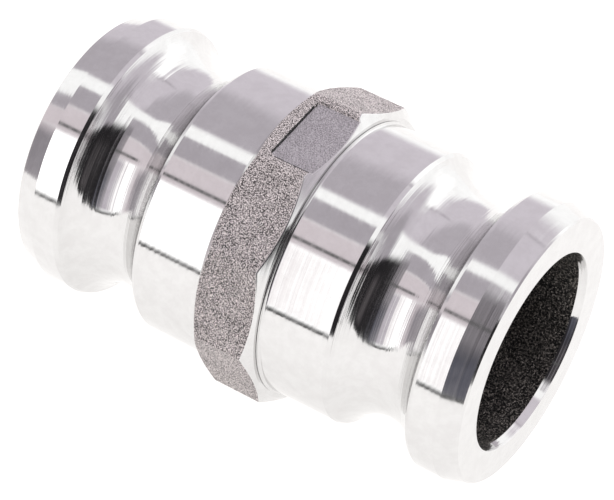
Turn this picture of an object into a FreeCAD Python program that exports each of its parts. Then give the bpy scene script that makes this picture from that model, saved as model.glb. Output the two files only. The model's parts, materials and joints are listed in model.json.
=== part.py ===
import FreeCAD, Part
import math
import os

# Double male cam-and-groove coupling, nominal size 1 1/4 inch, made of two screwed halves.
# X is the flow axis and +Z is up. The origin is on the axis, half way between the end faces.
# All sizes are in millimetres, and every radius below comes from one of these diameters.

HALF_LENGTH = 39.8          # from the origin to each end face

# Cam-and-groove end, the same on both halves.
HEAD_DIAMETER = 45.5
BARREL_DIAMETER = 44.9
LEAD_DIAMETER = 43.4        # small end of the tapered lead-in
LEAD_LENGTH = 3.6
RIM_BEVEL = 0.3
GROOVE_CENTRE = 24.4        # from the origin, along X
GROOVE_RADIUS = 7.94
GROOVE_ROOT_DIAMETER = 36.4
GROOVE_EDGE_DROP = 0.34     # how far the edge bevels of the groove reach inwards
GROOVE_EDGE_WIDTH = 0.6     # how far they reach along X

# Waterway.
BORE_DIAMETER = 31.6
MOUTH_DIAMETER = 32.5       # wide end of the tapered mouth
MOUTH_DEPTH = 1.3

# Ten-sided wrench collar, cast with the left half.
COLLAR_SIDES = 10
COLLAR_ACROSS_FLATS = 48.0
COLLAR_LEFT = -5.2          # left side face
COLLAR_RIGHT = 5.6          # right side face
COLLAR_FACE_DIAMETER = 47.0  # where the turned chamfer starts
COLLAR_CHAMFER_SLOPE = 0.745  # along X, for each millimetre of radius
COLLAR_CORNER_RADIUS = 0.6

# Blank panel sunk into the top flat. It runs out through the right-hand chamfer.
PANEL_DEPTH = 0.35
PANEL_WIDTH = 13.2
PANEL_LEFT = -2.6
PANEL_CORNER_RADIUS = 0.9

# Screwed joint between the halves: a 40 mm parallel thread, right-handed.
THREAD_DIAMETER = 40.0
THREAD_PITCH = 1.5
FLANK_ANGLE = math.radians(30.0)
FLANK_CLEARANCE = 0.12      # along X, on each flank
MALE_CREST_DIAMETER = 39.7
MALE_ROOT_DIAMETER = 38.0
FEMALE_CREST_DIAMETER = 38.4
FEMALE_ROOT_DIAMETER = 40.1
RELIEF_DIAMETER = 37.8      # turned neck between the collar and the thread
THREAD_START = 7.8
SPIGOT_END = 16.2
SOCKET_MOUTH = 5.65         # end face of the right half
LIP_HEIGHT = 0.4            # the mouth flares to a lip, with a fillet as large as it is high
LIP_THICKNESS = 0.12
SOCKET_ENTRY_DEPTH = 0.6    # plain counterbore behind the seal's recess
SOCKET_THREAD_END = 15.4
SOCKET_BOTTOM = 16.6
SOCKET_RELIEF_DIAMETER = 40.3
THREAD_CHAMFER = 1.0
MALE_CUT_START = 6.6        # the thread cutters start and end clear of the full threads
MALE_CUT_END = 17.3
FEMALE_CUT_START = 7.05
FEMALE_CUT_END = 16.15
CUTTER_OVERRUN = 0.05       # how far a cutter stands past the crests
SPIGOT_OVERLAP = 1.0        # how far the spigot's blank reaches into the collar
BOOLEAN_TOLERANCE = 0.001

# Flat seal ring, held in a recess in the mouth of the right half.
SEAL_RECESS_DIAMETER = 42.8
SEAL_RECESS_DEPTH = 0.95
SEAL_OUTER_DIAMETER = 42.7
SEAL_INNER_DIAMETER = 40.6
SEAL_GAP = 0.02             # at each side face of the ring

CLEAR = 2.0                 # how far a cutting block stands past what it cuts
ORIGIN = FreeCAD.Vector(0, 0, 0)
X_AXIS = FreeCAD.Vector(1, 0, 0)
Y_AXIS = FreeCAD.Vector(0, 1, 0)
Z_AXIS = FreeCAD.Vector(0, 0, 1)


def point(x, radius):
    """A point of a turned profile, in the XZ plane."""
    return FreeCAD.Vector(x, 0, radius)


def line(start, end):
    return Part.LineSegment(start, end).toShape()


def polyline(points):
    return [line(start, end) for start, end in zip(points, points[1:])]


def turned(edges):
    """Revolves a closed profile about the flow axis."""
    face = Part.Face(Part.Wire(Part.__sortEdges__(edges)))
    return face.revolve(ORIGIN, X_AXIS, 360)


def runs_along(edge, axis):
    return edge.tangentAt(0).cross(axis).Length < BOOLEAN_TOLERANCE


def groove_half_width(radius):
    """Half the width of the groove's arc where it reaches this radius."""
    arc_centre = GROOVE_ROOT_DIAMETER / 2 + GROOVE_RADIUS
    return math.sqrt(GROOVE_RADIUS ** 2 - (arc_centre - radius) ** 2)


def end_outline(side, barrel_start):
    """Edges of the outside of one end, from its barrel to the wall of its waterway."""
    barrel = BARREL_DIAMETER / 2
    head = HEAD_DIAMETER / 2
    lead = LEAD_DIAMETER / 2
    mouth = MOUTH_DIAMETER / 2
    barrel_drop = barrel - GROOVE_EDGE_DROP
    head_drop = head - GROOVE_EDGE_DROP
    inner_edge = GROOVE_CENTRE - groove_half_width(barrel_drop)
    outer_edge = GROOVE_CENTRE + groove_half_width(head_drop)
    groove_in = point(side * inner_edge, barrel_drop)
    groove_root = point(side * GROOVE_CENTRE, GROOVE_ROOT_DIAMETER / 2)
    groove_out = point(side * outer_edge, head_drop)
    edges = [
        line(point(barrel_start, barrel), point(side * (inner_edge - GROOVE_EDGE_WIDTH), barrel)),
        line(point(side * (inner_edge - GROOVE_EDGE_WIDTH), barrel), groove_in),
        Part.Arc(groove_in, groove_root, groove_out).toShape(),
    ]
    edges += polyline([
        groove_out,
        point(side * (outer_edge + GROOVE_EDGE_WIDTH), head),
        point(side * (HALF_LENGTH - LEAD_LENGTH), head),
        point(side * (HALF_LENGTH - RIM_BEVEL), lead),
        point(side * HALF_LENGTH, lead - RIM_BEVEL),
        point(side * HALF_LENGTH, mouth),
        point(side * (HALF_LENGTH - MOUTH_DEPTH), BORE_DIAMETER / 2),
    ])
    return edges


def thread_cutter(start, end, inner_radius, outer_radius, ridge):
    """A helical groove along X. Its flanks stand off the basic thread form by the clearance.

    ridge is True for the groove that takes a male ridge, and False for the space between two.
    """
    def half_width(radius):
        basic = THREAD_PITCH / 8 + 2 * (THREAD_DIAMETER / 2 - radius) * math.tan(FLANK_ANGLE)
        width = basic if ridge else THREAD_PITCH - basic
        return width / 2 + FLANK_CLEARANCE / 2

    helix = Part.makeHelix(THREAD_PITCH, end - start, outer_radius)
    corners = [
        FreeCAD.Vector(inner_radius, 0, -half_width(inner_radius)),
        FreeCAD.Vector(inner_radius, 0, half_width(inner_radius)),
        FreeCAD.Vector(outer_radius, 0, half_width(outer_radius)),
        FreeCAD.Vector(outer_radius, 0, -half_width(outer_radius)),
    ]
    profile = Part.makePolygon(corners + corners[:1])
    cutter = Part.Wire(helix.Edges).makePipeShell([profile], True, True)
    cutter.rotate(ORIGIN, Y_AXIS, 90)
    cutter.translate(X_AXIS * start)
    return cutter


def make_collar():
    """The wrench collar: a prism with soft corners, with both ends turned to a chamfer."""
    corner_radius = COLLAR_ACROSS_FLATS / 2 / math.cos(math.pi / COLLAR_SIDES)
    corners = []
    for index in range(COLLAR_SIDES + 1):
        angle = 2 * math.pi * index / COLLAR_SIDES
        corners.append(FreeCAD.Vector(
            COLLAR_LEFT, corner_radius * math.cos(angle), corner_radius * math.sin(angle)))
    prism = Part.Face(Part.makePolygon(corners)).extrude(X_AXIS * (COLLAR_RIGHT - COLLAR_LEFT))
    long_edges = [edge for edge in prism.Edges if runs_along(edge, X_AXIS)]
    prism = prism.makeFillet(COLLAR_CORNER_RADIUS, long_edges)

    face_radius = COLLAR_FACE_DIAMETER / 2
    inside = (BORE_DIAMETER + BARREL_DIAMETER) / 4
    reach = corner_radius + CLEAR
    chamfer = COLLAR_CHAMFER_SLOPE * (reach - face_radius)
    turned_limits = turned(polyline([
        point(COLLAR_LEFT, inside),
        point(COLLAR_LEFT, face_radius),
        point(COLLAR_LEFT + chamfer, reach),
        point(COLLAR_RIGHT - chamfer, reach),
        point(COLLAR_RIGHT, face_radius),
        point(COLLAR_RIGHT, inside),
        point(COLLAR_LEFT, inside),
    ]))
    return prism.common(turned_limits)


def make_panel():
    """The block that sinks the blank panel into the top flat."""
    floor = COLLAR_ACROSS_FLATS / 2 - PANEL_DEPTH
    length = COLLAR_RIGHT - PANEL_LEFT + CLEAR
    corner = FreeCAD.Vector(PANEL_LEFT, -PANEL_WIDTH / 2, floor)
    block = Part.makeBox(length, PANEL_WIDTH, PANEL_DEPTH + CLEAR, corner)
    left_corners = [
        edge for edge in block.Edges
        if runs_along(edge, Z_AXIS) and edge.BoundBox.Center.x < PANEL_LEFT + length / 2
    ]
    return block.makeFillet(PANEL_CORNER_RADIUS, left_corners)


def make_spigot():
    """The threaded tube that stands out of the collar. Its inner end is buried in the collar."""
    bore = BORE_DIAMETER / 2
    crest = MALE_CREST_DIAMETER / 2
    relief = RELIEF_DIAMETER / 2
    buried_end = COLLAR_RIGHT - SPIGOT_OVERLAP
    tube = turned(polyline([
        point(buried_end, bore),
        point(SPIGOT_END, bore),
        point(SPIGOT_END, crest - THREAD_CHAMFER),
        point(SPIGOT_END - THREAD_CHAMFER, crest),
        point(THREAD_START + crest - relief, crest),
        point(THREAD_START, relief),
        point(buried_end, relief),
        point(buried_end, bore),
    ]))
    spigot = tube.cut(thread_cutter(
        MALE_CUT_START, MALE_CUT_END,
        MALE_ROOT_DIAMETER / 2, crest + CUTTER_OVERRUN, False), BOOLEAN_TOLERANCE)
    turns_out_of_mesh = (MALE_CUT_START - FEMALE_CUT_START) / THREAD_PITCH + 0.5
    spigot.rotate(ORIGIN, X_AXIS, 360 * turns_out_of_mesh)
    return spigot


def make_collar_adapter():
    """The left half: cam-and-groove end, wrench collar and threaded spigot, in one casting."""
    bore = BORE_DIAMETER / 2
    edges = end_outline(-1, COLLAR_RIGHT)
    edges += polyline([
        point(-(HALF_LENGTH - MOUTH_DEPTH), bore),
        point(COLLAR_RIGHT, bore),
        point(COLLAR_RIGHT, BARREL_DIAMETER / 2),
    ])
    body = turned(edges).fuse(make_collar()).cut(make_panel())
    return body.fuse(make_spigot()).removeSplitter()


def make_socket_adapter():
    """The right half: cam-and-groove end with a threaded socket and a seat for the seal."""
    bore = BORE_DIAMETER / 2
    crest = FEMALE_CREST_DIAMETER / 2
    root = FEMALE_ROOT_DIAMETER / 2
    recess = SEAL_RECESS_DIAMETER / 2
    recess_floor = SOCKET_MOUTH + SEAL_RECESS_DEPTH
    entry = SEAL_INNER_DIAMETER / 2
    entry_floor = recess_floor + SOCKET_ENTRY_DEPTH
    relief = SOCKET_RELIEF_DIAMETER / 2
    barrel = BARREL_DIAMETER / 2
    lip_end = SOCKET_MOUTH + LIP_THICKNESS
    barrel_start = lip_end + LIP_HEIGHT
    middle = LIP_HEIGHT * (1 - math.sqrt(0.5))
    edges = end_outline(1, barrel_start)
    edges.append(Part.Arc(
        point(barrel_start, barrel),
        point(lip_end + middle, barrel + middle),
        point(lip_end, barrel + LIP_HEIGHT)).toShape())
    edges += polyline([
        point(HALF_LENGTH - MOUTH_DEPTH, bore),
        point(SOCKET_BOTTOM, bore),
        point(SOCKET_BOTTOM, relief),
        point(SOCKET_THREAD_END, relief),
        point(SOCKET_THREAD_END, crest),
        point(entry_floor + entry - crest, crest),
        point(entry_floor, entry),
        point(recess_floor, entry),
        point(recess_floor, recess),
        point(SOCKET_MOUTH, recess),
        point(SOCKET_MOUTH, barrel + LIP_HEIGHT),
        point(lip_end, barrel + LIP_HEIGHT),
    ])
    return turned(edges).cut(thread_cutter(
        FEMALE_CUT_START, FEMALE_CUT_END, crest - CUTTER_OVERRUN, root, True))


def make_seal_ring():
    left = COLLAR_RIGHT + SEAL_GAP
    right = SOCKET_MOUTH + SEAL_RECESS_DEPTH - SEAL_GAP
    inner = SEAL_INNER_DIAMETER / 2
    outer = SEAL_OUTER_DIAMETER / 2
    return turned(polyline([
        point(left, inner),
        point(left, outer),
        point(right, outer),
        point(right, inner),
        point(left, inner),
    ]))


PARTS = {
    "collar_adapter": make_collar_adapter,
    "socket_adapter": make_socket_adapter,
    "seal_ring": make_seal_ring,
}

os.makedirs("parts", exist_ok=True)
for name, make in PARTS.items():
    shape = make()
    solids = shape.Solids
    if len(solids) != 1 or not shape.isValid():
        raise ValueError(f"{name}: {len(solids)} solids, valid {shape.isValid()}")
    solids[0].exportStep(f"parts/{name}.step")
    print(f"{name}: {shape.Volume / 1000:.2f} cm3, {len(shape.Faces)} faces")
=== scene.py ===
"""Visual model of a double male cam-and-groove coupling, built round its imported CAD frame.

X is the flow axis and +Z is up. Outlines are drawn in millimetres, in the plane of X and the
radius, and are turned round X. The two adapters and the seal are one closed mesh each.
"""
import json
import math

import bpy
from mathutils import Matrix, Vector


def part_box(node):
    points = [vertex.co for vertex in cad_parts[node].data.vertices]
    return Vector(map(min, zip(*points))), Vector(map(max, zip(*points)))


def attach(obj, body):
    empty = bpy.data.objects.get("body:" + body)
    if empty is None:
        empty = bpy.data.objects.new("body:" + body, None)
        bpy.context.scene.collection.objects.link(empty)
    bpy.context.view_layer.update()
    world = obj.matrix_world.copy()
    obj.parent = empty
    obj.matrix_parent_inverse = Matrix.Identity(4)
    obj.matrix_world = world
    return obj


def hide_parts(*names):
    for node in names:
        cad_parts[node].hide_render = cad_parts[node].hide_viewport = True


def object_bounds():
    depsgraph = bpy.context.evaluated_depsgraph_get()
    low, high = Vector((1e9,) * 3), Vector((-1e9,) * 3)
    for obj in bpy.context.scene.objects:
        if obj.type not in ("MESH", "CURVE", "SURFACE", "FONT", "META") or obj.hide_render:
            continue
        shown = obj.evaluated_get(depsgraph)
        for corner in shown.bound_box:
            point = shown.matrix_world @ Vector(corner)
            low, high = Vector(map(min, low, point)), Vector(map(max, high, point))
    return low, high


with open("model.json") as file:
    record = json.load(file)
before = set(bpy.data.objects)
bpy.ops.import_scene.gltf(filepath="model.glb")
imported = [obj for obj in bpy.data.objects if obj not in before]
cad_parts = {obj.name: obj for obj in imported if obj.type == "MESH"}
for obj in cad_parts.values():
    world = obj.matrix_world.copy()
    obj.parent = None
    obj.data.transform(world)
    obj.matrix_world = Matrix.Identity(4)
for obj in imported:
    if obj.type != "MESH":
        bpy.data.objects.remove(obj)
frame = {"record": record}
cad_low, cad_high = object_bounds()

MM = 0.001
MOUNTS = {mount["name"]: mount for mount in frame["record"]["mounts"]}


def box_mm(node):
    """The lowest and highest corners of a CAD node, in millimetres."""
    low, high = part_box(node)
    return low / MM, high / MM


# ---- Sizes, in millimetres --------------------------------------------------------------

HALF_LENGTH = cad_high.x / MM
HEAD = MOUNTS["right_head"]["dims"]["r_mm"]
BORE = MOUNTS["flow_bore"]["dims"]["r_mm"]
GROOVE_CENTRE = MOUNTS["right_groove"]["pos_m"][0] / MM
SOCKET_MOUTH = box_mm("socket_adapter")[0].x
SPIGOT_END = box_mm("collar_adapter")[1].x
APOTHEM = -box_mm("collar_adapter")[0].z
SEAL_LOW, SEAL_HIGH = box_mm("seal_ring")

BARREL = HEAD - 0.3
LEAD = HEAD - 1.05          # small end of the tapered lead-in
LEAD_LENGTH = 3.6
RIM_BEVEL = 0.3
GROOVE_RADIUS = 7.94
GROOVE_ROOT = HEAD - 4.55
GROOVE_EDGE_DROP = 0.34
GROOVE_EDGE_WIDTH = 0.6
MOUTH = BORE + 0.45         # wide end of the tapered mouth
MOUTH_DEPTH = 1.3

COLLAR_SIDES = 10
COLLAR_LEFT = -5.2
COLLAR_RIGHT = 5.6
COLLAR_FACE = APOTHEM - 0.5
COLLAR_CHAMFER_SLOPE = 0.745
COLLAR_CORNER = 0.6
COLLAR_FOOT = 0.1           # radius at the foot of each of the collar's faces
HALF_SIDE = math.pi / COLLAR_SIDES      # half the angle of one flat, in radians
PANEL_DEPTH = 0.35
PANEL_HALF_WIDTH = 6.6
PANEL_LEFT = -2.6
PANEL_CORNER = 0.9
PANEL_WALL = 0.18           # width of the sunk panel's sloping wall
PANEL_SHADE_WIDTH = 0.14         # about how wide the painted shade line along its rim is
PANEL_RIM_SHARE = 0.02      # the painted shade line starts past this share of the panel's depth, and the floor's own finish past this one
PANEL_FLOOR_SHARE = 0.9     # and the floor's own finish past this one

THREAD_PITCH = 1.5
THREAD_HEIGHT = 0.85
THREAD_CREST_WIDTH = 0.3875
THREAD_FLANK = math.radians(30.0)
THREAD_ROW = 0.11           # spacing of an outline's points along a thread
MALE_CREST = 19.85
FEMALE_CREST = 19.2
NECK = 18.9
THREAD_START = 7.8
SOCKET_THREAD_END = 15.4
SOCKET_BOTTOM = 16.6
SOCKET_RELIEF = 20.15
SEAL_FLOOR = SOCKET_MOUTH + 0.95
SEAL_RECESS = SEAL_HIGH.z + 0.05
ENTRY = 20.3
ENTRY_FLOOR = SEAL_FLOOR + 0.6
THREAD_CHAMFER = 1.0
LIP_HEIGHT = 0.4            # of the lip at the socket's mouth, and the radius of its fillet
LIP_THICKNESS = 0.12

TURNED_EDGE = 0.07          # radius left on a turned edge
CAST_EDGE = 0.22            # radius left on an edge of the blasted collar
SEAL_EDGE = 0.15
LIP_EDGE = 0.03
FILLET_STEPS = 4
FILLET_SHARE = 0.4          # a fillet takes up at most this share of the shorter side
HOLD = 0.04                 # beyond each end of a fillet there is a point this far along,
HOLD_SHARE = 0.1            # or this share of the fillet's room, if that is less
TINY = 1e-4
NEARLY_STRAIGHT = 1e-3      # radians

# Finishes, in the order of the material slots. The seal has one of its own.
# The crease slot is painted shade, not a finish of the steel: a dark line along the sunk panel's
# rim.
POLISHED, GROOVED, FACED, BLASTED, SUNK, PAINTED_SHADE_LINE, CAST = range(7)
RUBBER = 0


# ---- Outlines ----------------------------------------------------------------------------

def corner(x, radius, fillet, finish):
    """A corner of an outline, and the finish of the run that starts there."""
    return (x, radius, fillet, finish)


def filleted(before, at, after, fillet):
    """The points that replace one corner of an outline: an arc between two tangent points."""
    back, ahead = before - at, after - at
    room = FILLET_SHARE * min(back.length, ahead.length)
    back.normalize()
    ahead.normalize()
    half = back.angle(ahead, math.pi) / 2
    reach = min(fillet / math.tan(half), room) if half > TINY else 0.0
    if reach < TINY or abs(half - math.pi / 2) < NEARLY_STRAIGHT:
        return [at.copy() for _ in range(FILLET_STEPS + 3)]
    radius = reach * math.tan(half)
    centre = at + (back + ahead).normalized() * (radius / math.sin(half))
    start = at + back * reach
    end = at + ahead * reach
    hold = min(HOLD, HOLD_SHARE * room)
    points = [start + back * hold]
    for step in range(FILLET_STEPS + 1):
        chord = start.lerp(end, step / FILLET_STEPS)
        points.append(centre + (chord - centre).normalized() * radius)
    points.append(end + ahead * hold)
    return points


def rounded(corners):
    """A closed outline with its fillets drawn in: its points, and the finish of each run."""
    points, finishes = [], []
    places = [Vector((x, radius)) for x, radius, _, _ in corners]
    for index, (_, _, fillet, finish) in enumerate(corners):
        before = places[index - 1]
        after = places[(index + 1) % len(places)]
        drawn = [places[index]]
        if fillet:
            drawn = filleted(before, places[index], after, fillet)
        points += drawn
        finishes += [finish] * len(drawn)
    return points, finishes


def groove_half_width(radius):
    """Half the width of the groove's arc at this radius."""
    arc_centre = GROOVE_ROOT + GROOVE_RADIUS
    return math.sqrt(GROOVE_RADIUS ** 2 - (arc_centre - radius) ** 2)


def end_corners(side):
    """One cam-and-groove end, from its barrel outwards and back in to the bore.

    The left end is its mirror image, and runs from the bore to the barrel.
    """
    steps = 40
    inner = groove_half_width(BARREL - GROOVE_EDGE_DROP)
    outer = groove_half_width(HEAD - GROOVE_EDGE_DROP)
    start = math.asin(-inner / GROOVE_RADIUS)
    sweep = math.asin(outer / GROOVE_RADIUS) - start
    barrel_edge = GROOVE_CENTRE - inner - GROOVE_EDGE_WIDTH
    head_edge = GROOVE_CENTRE + outer + GROOVE_EDGE_WIDTH
    run = [corner(barrel_edge, BARREL, TURNED_EDGE, FACED)]
    for step in range(steps + 1):
        turn = start + sweep * step / steps
        run.append(corner(
            GROOVE_CENTRE + GROOVE_RADIUS * math.sin(turn),
            GROOVE_ROOT + GROOVE_RADIUS * (1 - math.cos(turn)),
            TURNED_EDGE if step in (0, steps) else 0,
            FACED if step == steps else GROOVED))
    run += [
        corner(head_edge, HEAD, TURNED_EDGE, POLISHED),
        corner(HALF_LENGTH - LEAD_LENGTH, HEAD, TURNED_EDGE, FACED),
        corner(HALF_LENGTH - RIM_BEVEL, LEAD, TURNED_EDGE, FACED),
        corner(HALF_LENGTH, LEAD - RIM_BEVEL, TURNED_EDGE, FACED),
        corner(HALF_LENGTH, MOUTH, TURNED_EDGE, POLISHED),
        corner(HALF_LENGTH - MOUTH_DEPTH, BORE, TURNED_EDGE, CAST),
    ]
    if side > 0:
        return run
    # The other way along, each run starts at the corner where it ended.
    run.reverse()
    finishes = [finish for _, _, _, finish in run[1:]] + [POLISHED]
    return [corner(-x, radius, fillet, finish)
            for (x, radius, fillet, _), finish in zip(run, finishes)]


def thread_depth(x, angle):
    """How far the thread form stands above its root here: a ridge on a right-hand helix."""
    phase = (x / THREAD_PITCH - angle / (2 * math.pi)) % 1.0
    from_crest = abs(phase - 0.5) * THREAD_PITCH
    flank = (from_crest - THREAD_CREST_WIDTH / 2) / math.tan(THREAD_FLANK)
    return THREAD_HEIGHT - min(max(flank, 0.0), THREAD_HEIGHT)


def thread_rows(start, end):
    """Where the points of a threaded stretch lie along X."""
    count = round(abs(end - start) / THREAD_ROW)
    return [start + (end - start) * step / count for step in range(1, count)]


def spigot_corners(angle):
    """The male thread, from the collar's face to the bore at the spigot's end."""
    run = [
        corner(COLLAR_RIGHT, NECK, COLLAR_FOOT, FACED),
        corner(THREAD_START, NECK, 0, FACED),
    ]
    for x in thread_rows(THREAD_START, SPIGOT_END):
        blank = min(
            MALE_CREST,
            NECK + x - THREAD_START,
            MALE_CREST - (x - (SPIGOT_END - THREAD_CHAMFER)))
        form = MALE_CREST - THREAD_HEIGHT + thread_depth(x, angle)
        run.append(corner(x, max(min(blank, form), NECK), 0, FACED))
    run += [
        corner(SPIGOT_END, MALE_CREST - THREAD_CHAMFER, 0, FACED),
        corner(SPIGOT_END, BORE, TURNED_EDGE, CAST),
    ]
    return run


def lip_fillet():
    """The concave fillet that leads from the lip down to the barrel."""
    steps = 8
    run = []
    for step in range(steps + 1):
        turn = math.pi / 2 * step / steps
        run.append(corner(
            SOCKET_MOUTH + LIP_THICKNESS + LIP_HEIGHT * (1 - math.cos(turn)),
            BARREL + LIP_HEIGHT * (1 - math.sin(turn)),
            0,
            POLISHED if step == steps else FACED))
    return run


def socket_corners(angle):
    """The female thread, from the bore at the socket's bottom to its mouth and lip."""
    run = [
        corner(SOCKET_BOTTOM, BORE, TURNED_EDGE, FACED),
        corner(SOCKET_BOTTOM, SOCKET_RELIEF, TURNED_EDGE, FACED),
        corner(SOCKET_THREAD_END, SOCKET_RELIEF, 0, FACED),
    ]
    for x in thread_rows(SOCKET_THREAD_END, ENTRY_FLOOR):
        blank = max(FEMALE_CREST, ENTRY - (x - ENTRY_FLOOR))
        form = FEMALE_CREST + thread_depth(x, angle)
        run.append(corner(x, max(blank, form), 0, FACED))
    run += [
        corner(ENTRY_FLOOR, ENTRY, 0, FACED),
        corner(SEAL_FLOOR, ENTRY, TURNED_EDGE, FACED),
        corner(SEAL_FLOOR, SEAL_RECESS, TURNED_EDGE, FACED),
        corner(SOCKET_MOUTH, SEAL_RECESS, TURNED_EDGE, FACED),
        corner(SOCKET_MOUTH, BARREL + LIP_HEIGHT, LIP_EDGE, FACED),
    ]
    return run + lip_fillet()


def flat_offset(angle):
    """The angle from the middle of the nearest flat. The first flat faces straight up."""
    return (angle - math.pi / 2 + HALF_SIDE) % (2 * HALF_SIDE) - HALF_SIDE


def collar_radius(angle):
    """Radius of the ten-sided collar, with its soft corners."""
    offset = flat_offset(angle)
    from_corner = HALF_SIDE - abs(offset)
    centre = (APOTHEM - COLLAR_CORNER) / math.cos(HALF_SIDE)
    across = centre * math.sin(from_corner)
    if across > COLLAR_CORNER * math.sin(HALF_SIDE):
        return APOTHEM / math.cos(offset)
    return centre * math.cos(from_corner) + math.sqrt(COLLAR_CORNER ** 2 - across ** 2)


def smooth(value):
    """An even curve from 0 to 1, which stops at both."""
    value = min(max(value, 0.0), 1.0)
    return value * value * (3 - 2 * value)


def panel_sink(x, angle):
    """How deep the blank panel on the top flat is sunk here. It runs out to the right."""
    offset = angle - math.pi / 2
    if abs(offset) > HALF_SIDE:
        return 0.0
    beside = abs(APOTHEM * math.tan(offset)) - (PANEL_HALF_WIDTH - PANEL_CORNER)
    behind = (PANEL_LEFT + PANEL_CORNER) - x
    outside = math.hypot(max(beside, 0.0), max(behind, 0.0)) - PANEL_CORNER
    inside = min(max(beside, behind), 0.0)
    return PANEL_DEPTH * smooth(0.5 - (outside + inside) / PANEL_WALL)


# Where the points of a flat lie along X. They are close together at the panel's left wall.
FLAT_ROWS = [-3.6, -3.2, -2.9, -2.75, -2.67, -2.6, -2.53, -2.45, -2.35, -2.2, -2.05, -1.9, -1.7,
             -1.4, -0.9, -0.3, 0.4, 1.1, 1.8, 2.5, 3.1, 3.7]


def flat_radius(x, angle):
    """Radius of the collar's surface here, with the panel sunk into it."""
    return collar_radius(angle) - panel_sink(x, angle) / math.cos(flat_offset(angle))


def in_painted_shade(x, angle):
    """Whether the painted shade line runs here: a dark finish along the panel's left wall and its
    front side, where shade falls.
    """
    if abs(angle - math.pi / 2) > HALF_SIDE:
        return False
    past_side = APOTHEM * math.tan(angle - math.pi / 2) - PANEL_HALF_WIDTH
    at_side = -TINY < past_side < PANEL_SHADE_WIDTH and x > PANEL_LEFT + PANEL_CORNER
    past_rim = panel_sink(x, angle) > PANEL_RIM_SHARE * PANEL_DEPTH
    return at_side or (past_rim and x < PANEL_LEFT + PANEL_SHADE_WIDTH)


def flat_finish(x, angle):
    """The finish of the collar's surface here."""
    # Painted shade: the sunk panel's left wall and front rim are real shapes, and their darkness
    # is painted on.
    if in_painted_shade(x, angle):
        return PAINTED_SHADE_LINE
    on_floor = panel_sink(x, angle) > PANEL_FLOOR_SHARE * PANEL_DEPTH
    return SUNK if on_floor else BLASTED


def chamfer_depth(radius):
    """How far the turned chamfer reaches along X from one of the collar's faces."""
    return COLLAR_CHAMFER_SLOPE * (radius - COLLAR_FACE)


def collar_corners(angle):
    """The wrench collar at this angle, from the left barrel to its right face."""
    left = collar_radius(angle)
    right = flat_radius(FLAT_ROWS[-1], angle)
    return [
        corner(COLLAR_LEFT, BARREL, COLLAR_FOOT, FACED),
        corner(COLLAR_LEFT, COLLAR_FACE, TURNED_EDGE, FACED),
        corner(COLLAR_LEFT + chamfer_depth(left), left, CAST_EDGE, BLASTED),
        *(corner(x, flat_radius(x, angle), 0, flat_finish(x, angle)) for x in FLAT_ROWS),
        corner(COLLAR_RIGHT - chamfer_depth(right), right, CAST_EDGE, FACED),
        corner(COLLAR_RIGHT, COLLAR_FACE, TURNED_EDGE, FACED),
    ]


LEFT_END = end_corners(-1)
RIGHT_END = end_corners(1)


def collar_adapter_outline(angle):
    """The left half: its end, the collar and the male thread."""
    return rounded(LEFT_END + collar_corners(angle) + spigot_corners(angle))


def socket_adapter_outline(angle):
    """The right half: its end and the female thread."""
    return rounded(RIGHT_END + socket_corners(angle))


def seal_outline(_angle):
    """The seal: a flat ring, the same all the way round."""
    inner, outer = ENTRY, SEAL_HIGH.z
    return rounded([
        corner(SEAL_LOW.x, inner, SEAL_EDGE, RUBBER),
        corner(SEAL_LOW.x, outer, SEAL_EDGE, RUBBER),
        corner(SEAL_HIGH.x, outer, SEAL_EDGE, RUBBER),
        corner(SEAL_HIGH.x, inner, SEAL_EDGE, RUBBER),
    ])


# ---- Meshes --------------------------------------------------------------------------------

SOCKET_COLUMNS = 288
SEAL_COLUMNS = 192

# Angles of the collar's columns, in degrees: from the middle of a flat, from the panel's side, and
# back from the flat's end.
COLUMNS_ACROSS = [1.8 * step for step in range(1, 9)]
COLUMNS_BESIDE_PANEL = (-0.5, -0.25, -0.12, 0, 0.12, 0.25, 0.5)
COLUMNS_AT_CORNER = (1.2, 0.75, 0.48, 0.36, 0.24, 0.12)


def even_angles(count):
    """This many angles, evenly spaced round X."""
    return [2 * math.pi * index / count for index in range(count)]


def collar_angles():
    """Angles for the ten-sided collar: close together at its corners and the panel's sides."""
    side = 360.0 / COLLAR_SIDES
    panel_side = math.degrees(math.atan(PANEL_HALF_WIDTH / APOTHEM))
    beside_panel = [panel_side + shift for shift in COLUMNS_BESIDE_PANEL]
    at_corner = [side / 2 - shift for shift in COLUMNS_AT_CORNER]
    angles = []
    for index in range(COLLAR_SIDES):
        half = COLUMNS_ACROSS + (beside_panel if index == 0 else [panel_side]) + at_corner
        offsets = [-offset for offset in half] + [0.0] + half + [side / 2]
        angles += [math.radians(90.0 + side * index + offset) for offset in sorted(offsets)]
    return angles


def turned_mesh(name, angles, outline, materials):
    """A closed mesh that follows the outline round X. Its faces look outwards."""
    vertices, faces, slots = [], [], []
    for angle in angles:
        points, finishes = outline(angle)
        slots += finishes
        for point in points:
            vertices.append((
                point.x * MM,
                point.y * math.cos(angle) * MM,
                point.y * math.sin(angle) * MM))
    count = len(points)
    for ring in range(len(angles)):
        here = ring * count
        there = (ring + 1) % len(angles) * count
        for index in range(count):
            after = (index + 1) % count
            faces.append((here + index, there + index, there + after, here + after))
    mesh = bpy.data.meshes.new(name)
    mesh.from_pydata(vertices, [], faces)
    mesh.polygons.foreach_set("material_index", slots)
    mesh.polygons.foreach_set("use_smooth", [True] * len(faces))
    for material in materials:
        mesh.materials.append(material)
    mesh.validate()
    mesh.update()
    piece = bpy.data.objects.new(name, mesh)
    bpy.context.scene.collection.objects.link(piece)
    return piece


# ---- Materials -----------------------------------------------------------------------------

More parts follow.
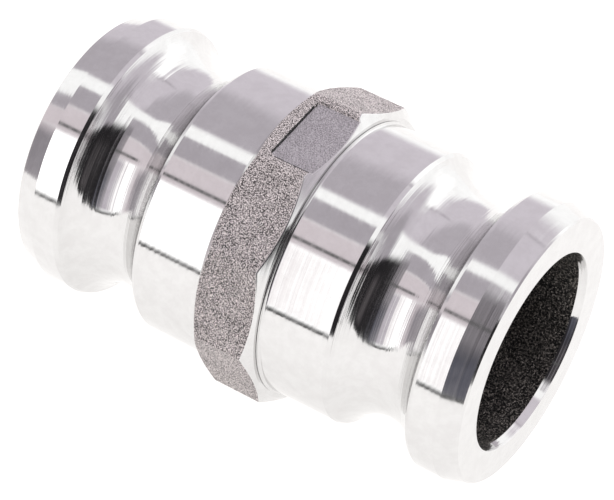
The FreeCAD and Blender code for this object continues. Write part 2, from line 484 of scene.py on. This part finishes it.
class Nodes:
    """Short ways to add and join the nodes of one tree."""

    def __init__(self, tree):
        self.tree = tree

    def add(self, kind, settings=None, **inputs):
        """Adds a node. A value sets the input of that name, and a socket is linked to it."""
        node = self.tree.nodes.new("ShaderNode" + kind)
        for key, value in (settings or {}).items():
            setattr(node, key, value)
        for key, value in inputs.items():
            name = int(key[1:]) if key[0] == "i" and key[1:].isdigit() else key.replace("_", " ")
            self.set(node.inputs[name], value)
        return node

    def set(self, socket, value):
        if isinstance(value, bpy.types.NodeSocket):
            self.tree.links.new(value, socket)
        else:
            socket.default_value = value

    def math(self, operation, *values):
        inputs = {f"i{index}": value for index, value in enumerate(values)}
        return self.add("Math", {"operation": operation}, **inputs).outputs[0]

    def blend(self, share, low, high):
        """A colour between two others."""
        node = self.add("Mix", {"data_type": "RGBA"})
        self.set(node.inputs["Factor"], share)
        self.set(node.inputs["A"], low)
        self.set(node.inputs["B"], high)
        return node.outputs["Result"]

    def ramp(self, value, low, high, to_low, to_high):
        """Maps one range to another, and stops at its ends."""
        node = self.add("MapRange", {"clamp": True, "interpolation_type": "SMOOTHSTEP"})
        self.set(node.inputs["Value"], value)
        for name, number in (("From Min", low), ("From Max", high),
                             ("To Min", to_low), ("To Max", to_high)):
            node.inputs[name].default_value = number
        return node.outputs["Result"]


def grey(level, red=1.0, green=1.0, blue=1.0):
    """A grey of this level, or one with a tint."""
    return (level * red, level * green, level * blue, 1.0)


def new_material(name):
    """A material with an empty tree, and the means to fill it."""
    material = bpy.data.materials.new(name)
    material.use_nodes = True
    material.node_tree.nodes.clear()
    return material, Nodes(material.node_tree)


def close_material(nodes, shader):
    """Joins a shader to the material's output."""
    nodes.add("OutputMaterial", Surface=shader.outputs["BSDF"])


# Scales of the noise, in cells to the metre.
FINE_LINES = 4200.0
BROAD_LINES = 1300.0
CLOUDS = 420.0
BLOOM = 1800.0
MARK_DRIFT = 0.006          # lets the lathe lines vary a little round the piece


def turning_marks(nodes):
    """Coordinates that run along X and the radius, so that noise on them makes lathe lines."""
    place = nodes.add("TexCoord").outputs["Object"]
    parts = nodes.add("SeparateXYZ", Vector=place)
    squares = [nodes.math("MULTIPLY", parts.outputs[axis], parts.outputs[axis]) for axis in "YZ"]
    radius = nodes.math("SQRT", nodes.math("ADD", *squares))
    drift = nodes.math("MULTIPLY", parts.outputs["Y"], MARK_DRIFT)
    return nodes.add("CombineXYZ", X=parts.outputs["X"], Y=radius, Z=drift).outputs[0], place


def turned_steel(name, level, roughness, spread, anisotropy, line_depth):
    """Lathe-turned stainless steel: fine rings, and a sheen drawn out across them."""
    material, nodes = new_material(name)
    marks, place = turning_marks(nodes)
    fine = nodes.add("TexNoise", Vector=marks, Scale=FINE_LINES, Detail=3.0, Roughness=0.6)
    broad = nodes.add("TexNoise", Vector=marks, Scale=BROAD_LINES, Detail=2.0, Roughness=0.5)
    cloud = nodes.add("TexNoise", Vector=place, Scale=CLOUDS, Detail=6.0, Roughness=0.7)
    colour = nodes.blend(
        nodes.ramp(cloud.outputs[0], 0.35, 0.65, 0.0, 1.0),
        grey(level * 0.965, 1.0, 0.99, 0.985),
        grey(level * 1.02, 1.0, 0.995, 0.99))
    rough = nodes.math(
        "ADD",
        nodes.ramp(broad.outputs[0], 0.3, 0.7, roughness - spread, roughness + spread),
        nodes.ramp(cloud.outputs[0], 0.3, 0.75, -spread * 0.5, spread * 0.5))
    height = nodes.math(
        "ADD", nodes.math("MULTIPLY", fine.outputs[0], 0.12), broad.outputs[0])
    bump = nodes.add("Bump", Height=height, Strength=1.0, Distance=line_depth * MM)
    around = nodes.add("Tangent", {"direction_type": "RADIAL", "axis": "X"})
    shader = nodes.add(
        "BsdfPrincipled", Metallic=1.0, Anisotropic=anisotropy, Anisotropic_Rotation=0.25)
    nodes.set(shader.inputs["Base Color"], colour)
    nodes.set(shader.inputs["Roughness"], rough)
    nodes.set(shader.inputs["Normal"], bump.outputs[0])
    nodes.set(shader.inputs["Tangent"], around.outputs[0])
    close_material(nodes, shader)
    return material


def grained_steel(name, dark, light, pit_range, metallic, roughness, grain, depth):
    """Blasted or as-cast steel: an even grain of this many millimetres, with dark pits."""
    material, nodes = new_material(name)
    place = nodes.add("TexCoord").outputs["Object"]
    per_metre = 1.0 / (grain * MM)
    pits = nodes.add("TexNoise", Vector=place, Scale=per_metre, Detail=2.0, Roughness=0.6)
    cells = nodes.add("TexVoronoi", {"feature": "F1"}, Vector=place, Scale=0.8 * per_metre)
    patches = nodes.add("TexNoise", Vector=place, Scale=CLOUDS, Detail=3.0)
    height = nodes.math(
        "ADD", pits.outputs[0], nodes.math("MULTIPLY", cells.outputs["Distance"], 0.6))
    share = nodes.math(
        "ADD",
        nodes.ramp(pits.outputs[0], *pit_range, 0.0, 1.0),
        nodes.ramp(patches.outputs[0], 0.3, 0.7, -0.05, 0.05))
    colour = nodes.blend(share, dark, light)
    rough = nodes.ramp(pits.outputs[0], 0.3, 0.7, roughness + 0.1, roughness - 0.08)
    bump = nodes.add("Bump", Height=height, Strength=1.0, Distance=depth * MM)
    shader = nodes.add("BsdfPrincipled", Metallic=metallic)
    nodes.set(shader.inputs["Base Color"], colour)
    nodes.set(shader.inputs["Roughness"], rough)
    nodes.set(shader.inputs["Normal"], bump.outputs[0])
    close_material(nodes, shader)
    return material


def black_rubber():
    """Moulded sealing rubber, nearly black, with a faint bloom."""
    material, nodes = new_material("seal_rubber")
    place = nodes.add("TexCoord").outputs["Object"]
    bloom = nodes.add("TexNoise", Vector=place, Scale=BLOOM, Detail=4.0)
    colour = nodes.blend(bloom.outputs[0], grey(0.008), grey(0.022))
    bump = nodes.add("Bump", Height=bloom.outputs[0], Strength=0.3, Distance=0.03 * MM)
    shader = nodes.add("BsdfPrincipled", Roughness=0.62)
    nodes.set(shader.inputs["Base Color"], colour)
    nodes.set(shader.inputs["Normal"], bump.outputs[0])
    close_material(nodes, shader)
    return material


# ---- Pieces --------------------------------------------------------------------------------

steel_finishes = [
    turned_steel(
        "polished_steel", level=0.70, roughness=0.11, spread=0.03, anisotropy=0.75,
        line_depth=0.022),
    turned_steel(
        "form_cut_steel", level=0.70, roughness=0.12, spread=0.04, anisotropy=0.75,
        line_depth=0.075),
    turned_steel(
        "faced_steel", level=0.69, roughness=0.13, spread=0.03, anisotropy=0.7,
        line_depth=0.02),
    grained_steel(
        "blasted_steel", dark=grey(0.015, 1.0, 0.91, 0.90), light=grey(0.85, 1.0, 0.92, 0.91),
        pit_range=(0.37, 0.63), metallic=0.6, roughness=0.62, grain=0.175, depth=0.12),
    grained_steel(
        "sunk_panel_steel", dark=grey(0.17, 1.0, 0.94, 0.98), light=grey(0.57, 1.0, 0.94, 1.0),
        pit_range=(0.30, 0.70), metallic=0.6, roughness=0.62, grain=0.16, depth=0.06),
    # Painted shade: a nearly black grained finish that stands for the shade in the sunk panel's
    # crease and along its front rim.
    grained_steel(
        "creased_steel", dark=grey(0.01), light=grey(0.26),
        pit_range=(0.42, 0.8), metallic=0.6, roughness=0.6, grain=0.20, depth=0.08),
    grained_steel(
        "cast_bore", dark=grey(0.035), light=grey(0.62, 1.0, 0.92, 0.85),
        pit_range=(0.42, 0.78), metallic=1.0, roughness=0.55, grain=0.30, depth=0.16),
]

left = turned_mesh(
    "collar_adapter_turned", collar_angles(), collar_adapter_outline, steel_finishes)
right = turned_mesh(
    "socket_adapter_turned", even_angles(SOCKET_COLUMNS), socket_adapter_outline, steel_finishes)
seal = turned_mesh(
    "seal_ring_moulded", even_angles(SEAL_COLUMNS), seal_outline, [black_rubber()])

for piece, node, body, slot in (
        (left, "collar_adapter", "collar_half", "adapter_steel"),
        (right, "socket_adapter", "socket_half", "adapter_steel"),
        (seal, "seal_ring", "seal", "seal_rubber")):
    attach(piece, body)
    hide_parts(node)


# ---- Table, light and camera ---------------------------------------------------------------

TABLE_DROP = 0.05           # millimetres; keeps the table out of the plane of the bottom flat


def make_table():
    """A small pale table top, bright as a light box, under the part."""
    half_size = 0.22
    height = cad_low.z - TABLE_DROP * MM
    mesh = bpy.data.meshes.new("table")
    corners = [(-half_size, -half_size, height), (half_size, -half_size, height),
               (half_size, half_size, height), (-half_size, half_size, height)]
    mesh.from_pydata(corners, [], [(0, 1, 2, 3)])
    material, nodes = new_material("table_white")
    shader = nodes.add("BsdfPrincipled", Roughness=0.9)
    shader.inputs["Base Color"].default_value = grey(0.15)
    shader.inputs["Emission Color"].default_value = grey(1.0, 1.0, 0.985, 0.97)
    shader.inputs["Emission Strength"].default_value = 1.05
    close_material(nodes, shader)
    mesh.materials.append(material)
    table = bpy.data.objects.new("table", mesh)
    bpy.context.scene.collection.objects.link(table)


ROOM = grey(1.35)
BACKDROP = grey(1.3)
LILAC = (1.0, 0.93, 1.01)
PINK = (1.0, 0.905, 0.95)
BLUE = (0.95, 0.96, 1.2)

# Panels of the studio. Each has a range of X of the direction, with its softness, and a range of
# the angle round X in degrees, from straight up towards -Y, with its softness. An edge (a, b, c)
# runs at a + b X + c X^4. Later panels cover earlier ones.
PANELS = [
    ("overhead", (-0.93, 0.62, 0.05), (-73, 60, 0), (-6, 0, -44), (7, 2.5), grey(0.82, *LILAC)),
    ("overhead_near", (-0.95, 0.45, 0.08), (-20, 70, 0), (-6, 0, -44), (9, 2.5),
     grey(0.60, *LILAC)),
    ("window", (0.22, 0.52, 0.08), (-92, 0, 0), (-49, 0, 0), (4, 4), grey(1.6)),
    ("window_sill", (-0.25, 0.5, 0.08), (-46.5, 0, 0), (-44, 0, 0), (1, 1), grey(0.62, *LILAC)),
    ("corner", (0.55, 1.1, 0.08), (-78, 0, 0), (-6, 0, -44), (6, 3), grey(0.75, *LILAC)),
    ("corner_far", (0.74, 0.97, 0.05), (-50, 0, 0), (60, 0, 0), (9, 6), grey(0.5, *LILAC)),
    ("front_top", (-1.1, 0.35, 0.08), (3.5, 0, 0), (21.5, 0, 0), (1.6, 2.0), grey(0.55, *LILAC)),
    ("front_pale", (-1.1, 0.3, 0.08), (21.5, 0, 0), (44, 0, 0), (2.0, 3.0), grey(0.88, *PINK)),
    ("left_wall", (-1.1, -0.64, 0.08), (44, 0, 0), (106, 0, 0), (3.0, 3.0), grey(0.85, *PINK)),
    ("left_far", (-1.1, -0.80, 0.06), (50, 0, 0), (112, 0, 0), (10.0, 5.0), grey(0.36, *LILAC)),
    ("softbox", (-0.62, -0.20, 0.06), (44, 0, 0), (94, 0, 0), (3.0, 2.0), grey(2.2)),
    ("softbox_rim", (-0.40, -0.20, 0.03), (44, 0, 0), (94, 0, 0), (3.0, 2.0), grey(1.55)),
    ("softbox_edge", (-0.325, -0.20, 0.03), (44, 0, 0), (94, 0, 0), (3.0, 2.0),
     grey(1.34, 1.0, 0.96, 0.965)),
    ("softbox_side", (-0.20, 0.20, 0.08), (44, 0, 0), (94, 0, 0), (3.0, 2.0),
     grey(0.68, *LILAC)),
    ("dark_room", (0.16, 1.1, 0.12), (14, 0, 0), (110, 0, 0), (5.0, 2.0), grey(0.025, *LILAC)),
    ("room_haze", (0.20, 0.33, 0.04), (12, 0, 0), (60, 0, 0), (5.0, 12.0), grey(0.36, *LILAC)),
    ("room_floor", (0.20, 0.33, 0.04), (60, 0, 0), (110, 0, 0), (12.0, 2.0), grey(0.14, *BLUE)),
    ("room_glow", (0.71, 0.84, 0.08), (38, 0, 0), (92, 0, 0), (10.0, 6.0), grey(0.12, *PINK)),
    ("tripod", (-0.65, 0.4, 0.1), (36.2, 0, 0), (38.8, 0, 0), (1.1, 1.1), grey(0.15)),
    ("table_gap", (-0.62, 1.1, 0.08), (95.8, 0, 10), (112, 0, 0), (1.8, 2.0), grey(0.13)),
]


def past_edge(nodes, along, along_four, turn, edge):
    """How many degrees a direction lies past a panel's edge."""
    start, slope, curve = edge
    straight = nodes.math("MULTIPLY_ADD", along, slope, start)
    at = nodes.math("MULTIPLY_ADD", along_four, curve, straight)
    return nodes.math("SUBTRACT", turn, at)


def panel_cover(nodes, along, past_low, past_high, x_range, softness):
    """How far a panel covers a direction: 1 inside it and 0 outside, with soft edges."""
    x_low, x_high, x_soft = x_range
    low_soft, high_soft = softness
    lengthwise = nodes.math(
        "MULTIPLY",
        nodes.ramp(along, x_low - x_soft, x_low + x_soft, 0.0, 1.0),
        nodes.ramp(along, x_high - x_soft, x_high + x_soft, 1.0, 0.0))
    crosswise = nodes.math(
        "MULTIPLY",
        nodes.ramp(past_low, -low_soft, low_soft, 0.0, 1.0),
        nodes.ramp(past_high, -high_soft, high_soft, 1.0, 0.0))
    return nodes.math("MULTIPLY", lengthwise, crosswise)


def make_world():
    """A white room with soft panels. The camera itself sees plain white."""
    world = bpy.data.worlds.new("studio")
    bpy.context.scene.world = world
    world.use_nodes = True
    world.node_tree.nodes.clear()
    nodes = Nodes(world.node_tree)
    parts = nodes.add("SeparateXYZ", Vector=nodes.add("TexCoord").outputs["Generated"])
    along = parts.outputs["X"]
    squared = nodes.math("MULTIPLY", along, along)
    along_four = nodes.math("MULTIPLY", squared, squared)
    turn = nodes.math(
        "DEGREES",
        nodes.math(
            "ARCTAN2", nodes.math("MULTIPLY", parts.outputs["Y"], -1.0), parts.outputs["Z"]))
    colour = ROOM
    for name, x_range, low, high, softness, panel in PANELS:
        past_low = past_edge(nodes, along, along_four, turn, low)
        past_high = past_edge(nodes, along, along_four, turn, high)
        cover = panel_cover(nodes, along, past_low, past_high, x_range, softness)
        colour = nodes.blend(cover, colour, panel)
        colour.node.label = name
    seen = nodes.add("LightPath").outputs["Is Camera Ray"]
    background = nodes.add("Background", Color=nodes.blend(seen, colour, BACKDROP))
    nodes.add("OutputWorld", Surface=background.outputs[0])


def make_camera():
    """A long lens, looking down on the right-hand end. Distances are in millimetres."""
    azimuth, elevation = math.radians(33.4), math.radians(47.54)
    distance, aside, above = 413.7, -0.32, -0.95
    back = Vector((
        math.sin(azimuth) * math.cos(elevation),
        -math.cos(azimuth) * math.cos(elevation),
        math.sin(elevation)))
    right = Vector((math.cos(azimuth), math.sin(azimuth), 0.0))
    up = back.cross(right)
    data = bpy.data.cameras.new("camera")
    data.sensor_width = 36.0
    data.lens = 157.6
    data.clip_start = 0.01
    data.clip_end = 10.0
    camera = bpy.data.objects.new("camera", data)
    camera.location = (back * distance + right * aside + up * above) * MM
    camera.rotation_mode = "QUATERNION"
    camera.rotation_quaternion = back.to_track_quat("Z", "Y")
    bpy.context.scene.collection.objects.link(camera)
    bpy.context.scene.camera = camera


def make_top_light():
    """A wide soft light above and behind. The panels stand for it in reflections."""
    data = bpy.data.lights.new("top_light", "SUN")
    data.energy = 2.5
    data.angle = math.radians(60)
    light = bpy.data.objects.new("top_light", data)
    light.rotation_euler.x = math.radians(-25)
    light.visible_glossy = False
    bpy.context.scene.collection.objects.link(light)


make_table()
make_world()
make_top_light()
make_camera()
bpy.context.scene.view_settings.view_transform = "Standard"
